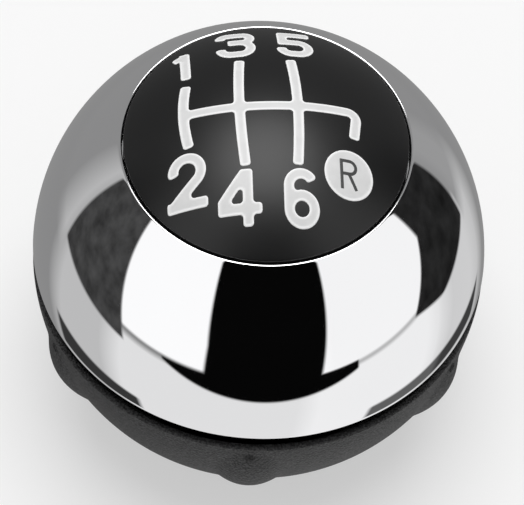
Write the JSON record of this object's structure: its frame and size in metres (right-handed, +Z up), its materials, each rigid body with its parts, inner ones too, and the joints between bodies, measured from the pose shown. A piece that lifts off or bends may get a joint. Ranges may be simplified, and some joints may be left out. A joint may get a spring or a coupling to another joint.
{
  "type": "gear shift knob",
  "caption": "Ball-shaped gear shift knob with a plated upper shell, a domed cap with an inlaid shift pattern, a grained lower half and a tapped insert for the lever.",
  "frame": {"origin": "centre of the foot, on the lever's axis, on the surface that the knob stands on", "axes": "+Z up along the lever's axis, +Y towards the top of the shift pattern, +X to its right"},
  "size_m": [0.052, 0.0526, 0.0493],
  "materials": {
    "plating": "mirror",
    "cap_black": "satin",
    "inlay": "satin",
    "letter": "satin",
    "foam": "matt",
    "core_black": "gloss",
    "weight_steel": "turned",
    "insert_brass": "turned",
    "sleeve_rubber": "matt",
    "grained_black": "grained",
    "screw_steel": "zinc plated"
  },
  "bodies": {
    "root": {"cap": "cap_black", "gate_lines": "inlay", "numeral_1": "inlay", "numeral_2": "inlay", "numeral_3": "inlay", "numeral_4": "inlay", "numeral_5": "inlay", "numeral_6": "inlay", "reverse_disc": "inlay", "reverse_letter": "letter", "cap_gasket": "foam", "chrome_shell": "plating", "core": "core_black", "weight": "weight_steel", "damping_pad": "foam", "lever_insert": "insert_brass", "rubber_sleeve": "sleeve_rubber", "base": "grained_black", "base_screw_1": "screw_steel", "base_screw_2": "screw_steel", "base_screw_3": "screw_steel"}
  },
  "joints": []
}
